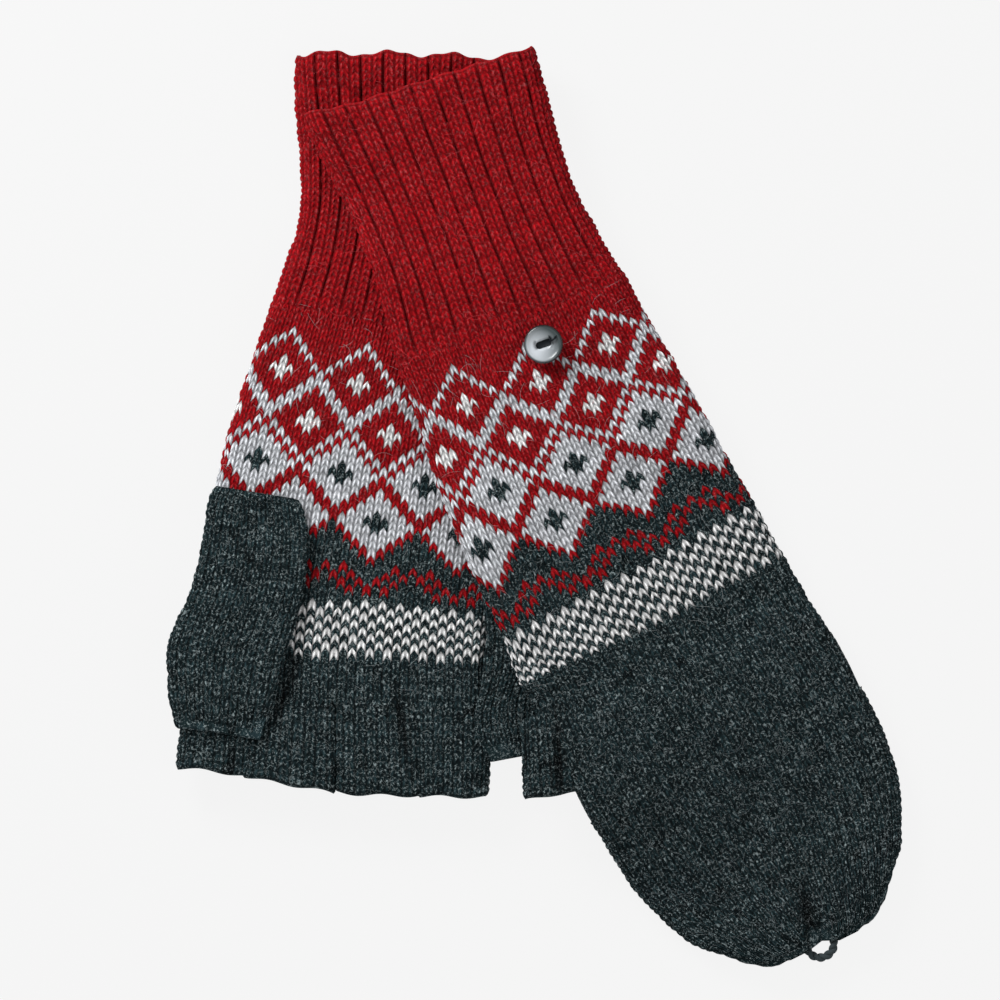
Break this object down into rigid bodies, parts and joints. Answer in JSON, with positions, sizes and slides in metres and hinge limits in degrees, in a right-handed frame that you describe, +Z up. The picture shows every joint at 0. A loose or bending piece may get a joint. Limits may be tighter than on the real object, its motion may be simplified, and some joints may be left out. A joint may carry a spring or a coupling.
{
  "type": "convertible flip-top mittens",
  "caption": "Pair of knitted fingerless gloves with a flip-over mitten cap on the back of each hand, held open by a button and a yarn loop; laid flat, one across the other.",
  "frame": {"origin": "centre of the pair's footprint, on the table it lies on", "axes": "+Z up from the table; +Y from the finger tips towards the cuffs, along the right mitten; +X to the side the left mitten leans to"},
  "size_m": [0.2208, 0.277, 0.0264],
  "materials": {
    "red_wool": "ribbed red wool knit, softly fuzzy",
    "patterned_wool": "colour-patterned wool knit in red, grey, white and charcoal",
    "charcoal_wool": "heathered charcoal wool knit",
    "button_pearl": "polished pearly grey",
    "black_thread": "matt sewing thread"
  },
  "bodies": {
    "right_mitten": {"right_cuff": "red_wool", "right_hand": "patterned_wool", "right_index": "charcoal_wool", "right_middle": "charcoal_wool", "right_little": "charcoal_wool", "right_button": "button_pearl", "right_button_shank": "black_thread"},
    "right_ring": {"right_ring": "charcoal_wool"},
    "right_thumb": {"right_thumb": "charcoal_wool"},
    "right_cap": {"right_cap": "charcoal_wool", "right_cap_back": "charcoal_wool", "right_cap_loop": "charcoal_wool"},
    "left_mitten": {"left_cuff": "red_wool", "left_hand": "patterned_wool", "left_index": "charcoal_wool", "left_button": "button_pearl", "left_button_shank": "black_thread", "left_button_thread": "black_thread"},
    "left_middle": {"left_middle": "charcoal_wool"},
    "left_ring": {"left_ring": "charcoal_wool"},
    "left_little": {"left_little": "charcoal_wool"},
    "left_thumb": {"left_thumb": "charcoal_wool"},
    "left_cap": {"left_cap": "charcoal_wool", "left_cap_back": "charcoal_wool", "left_cap_loop": "charcoal_wool"}
  },
  "joints": [
    {"name": "left_mitten_lift", "type": "slide", "parent": "right_mitten", "child": "left_mitten", "axis": [0, 0, 1], "range_m": [0, 0.06]},
    {"name": "left_cap_fold", "type": "hinge", "parent": "left_mitten", "child": "left_cap", "pos_m": [0.04076, -0.04514, 0.01657], "axis": [-0.8671, -0.4707, 0.1628], "range_deg": [0, 168]},
    {"name": "left_thumb_swing", "type": "hinge", "parent": "left_mitten", "child": "left_thumb", "pos_m": [0.00052, -0.03091, 0.01492], "axis": [-0.1845, 0, -0.9828], "range_deg": [0, 15]},
    {"name": "left_middle_flex", "type": "hinge", "parent": "left_mitten", "child": "left_middle", "pos_m": [0.02922, -0.05533, 0.00903], "axis": [0.9441, 0.278, -0.1773], "range_deg": [0, 80], "stiffness_Nm_per_rad": 0.01},
    {"name": "left_ring_flex", "type": "hinge", "parent": "left_mitten", "child": "left_ring", "pos_m": [0.05276, -0.04632, 0.00461], "axis": [0.8841, 0.4368, -0.166], "range_deg": [0, 80], "stiffness_Nm_per_rad": 0.01},
    {"name": "left_little_flex", "type": "hinge", "parent": "left_mitten", "child": "left_little", "pos_m": [0.07328, -0.03571, 0.00082], "axis": [0.8711, 0.4655, -0.1567], "range_deg": [0, 80], "stiffness_Nm_per_rad": 0.01},
    {"name": "right_ring_flex", "type": "hinge", "parent": "right_mitten", "child": "right_ring", "pos_m": [-0.04763, -0.0602, 0.0138], "axis": [-0.9995, 0.0302, 0], "range_deg": [0, 80], "stiffness_Nm_per_rad": 0.01},
    {"name": "right_thumb_swing", "type": "hinge", "parent": "right_mitten", "child": "right_thumb", "pos_m": [-0.08466, -0.01663, 0.0133], "axis": [0, 0, -1], "range_deg": [0, 35]},
    {"name": "right_cap_fold", "type": "hinge", "parent": "right_mitten", "child": "right_cap", "pos_m": [-0.05927, -0.05268, 0.0041], "axis": [0.9995, -0.0308, 0], "range_deg": [-172, 0], "deforming": ["right_cap_loop"]}
  ]
}
